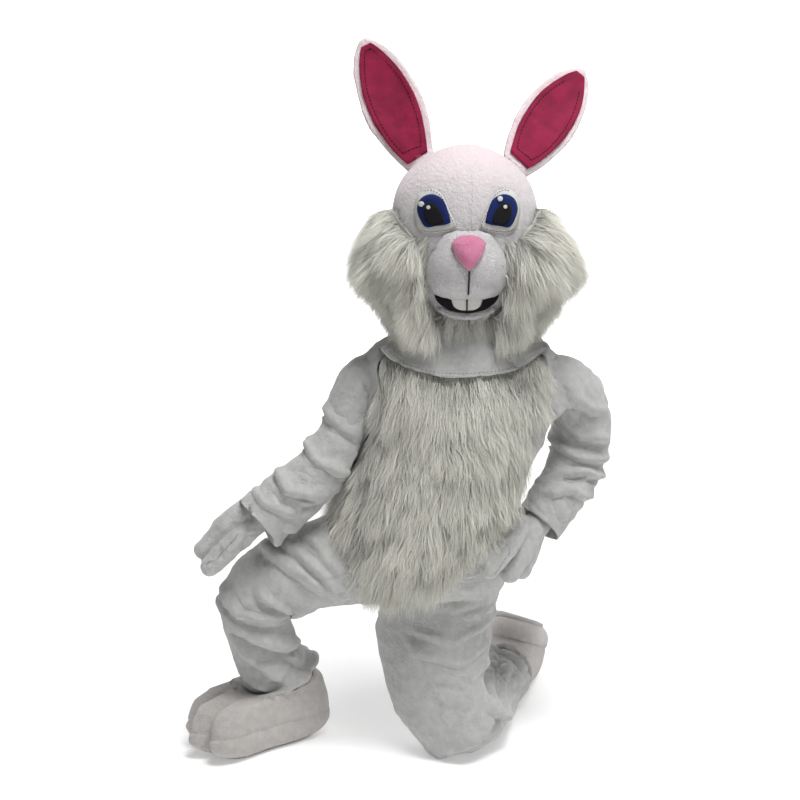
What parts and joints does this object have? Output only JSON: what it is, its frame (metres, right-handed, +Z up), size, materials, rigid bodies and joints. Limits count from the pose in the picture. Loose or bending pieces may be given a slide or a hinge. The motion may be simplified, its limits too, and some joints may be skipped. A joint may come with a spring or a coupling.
{
  "type": "rabbit mascot costume",
  "caption": "Hollow rabbit costume in worn form: padded head with long ears, plush suit with a fur front, mitt-like gloves and large padded feet.",
  "frame": {"origin": "centre of the base of the neck, on the wearer's axis, 0.960 m above the floor that the knee and the feet rest on", "axes": "+Z up through the head, -Y the way the costume faces, +X towards the wearer's left arm"},
  "size_m": [0.9856, 0.8315, 1.614],
  "materials": {
    "ear_pink": "crushed velvet over foam",
    "felt_black": "felt",
    "felt_blue": "felt",
    "felt_white": "felt",
    "foot_plush": "short-pile plush over foam",
    "head_plush": "short-pile plush over foam",
    "long_fur": "long curly pile",
    "nose_pink": "short-pile plush, padded",
    "sole": "woven non-slip cloth",
    "suit_plush": "short-pile plush, matt"
  },
  "bodies": {
    "root": {"back_panel_left": "suit_plush", "back_panel_right": "suit_plush", "back_placket": "suit_plush", "belly_fur": "long_fur", "cheek_fur_left": "long_fur", "cheek_fur_right": "long_fur", "ear_inner_left": "ear_pink", "ear_inner_right": "ear_pink", "ear_left": "head_plush", "ear_right": "head_plush", "eye_white_left": "felt_white", "eye_white_right": "felt_white", "finger_a_left": "suit_plush", "finger_a_right": "suit_plush", "finger_b_left": "suit_plush", "finger_b_right": "suit_plush", "finger_c_left": "suit_plush", "finger_c_right": "suit_plush", "foot_band_left": "foot_plush", "foot_band_right": "foot_plush", "foot_upper_left": "foot_plush", "foot_upper_right": "foot_plush", "front_panel_left": "suit_plush", "front_panel_right": "suit_plush", "head_back": "head_plush", "head_front_left": "head_plush", "head_front_right": "head_plush", "highlight_left_high": "felt_white", "highlight_left_low": "felt_white", "highlight_right_high": "felt_white", "highlight_right_low": "felt_white", "iris_left": "felt_blue", "iris_right": "felt_blue", "leg_left": "suit_plush", "leg_right": "suit_plush", "lip_seam": "felt_black", "lower_lip": "head_plush", "mouth": "felt_black", "muzzle_left": "head_plush", "muzzle_right": "head_plush", "neck_bib": "suit_plush", "nose": "nose_pink", "palm_left": "suit_plush", "palm_right": "suit_plush", "pupil_left": "felt_black", "pupil_right": "felt_black", "sleeve_left": "suit_plush", "sleeve_right": "suit_plush", "sole_left": "sole", "sole_right": "sole", "thumb_left": "suit_plush", "thumb_right": "suit_plush", "tooth_left": "felt_white", "tooth_right": "felt_white"}
  },
  "joints": []
}
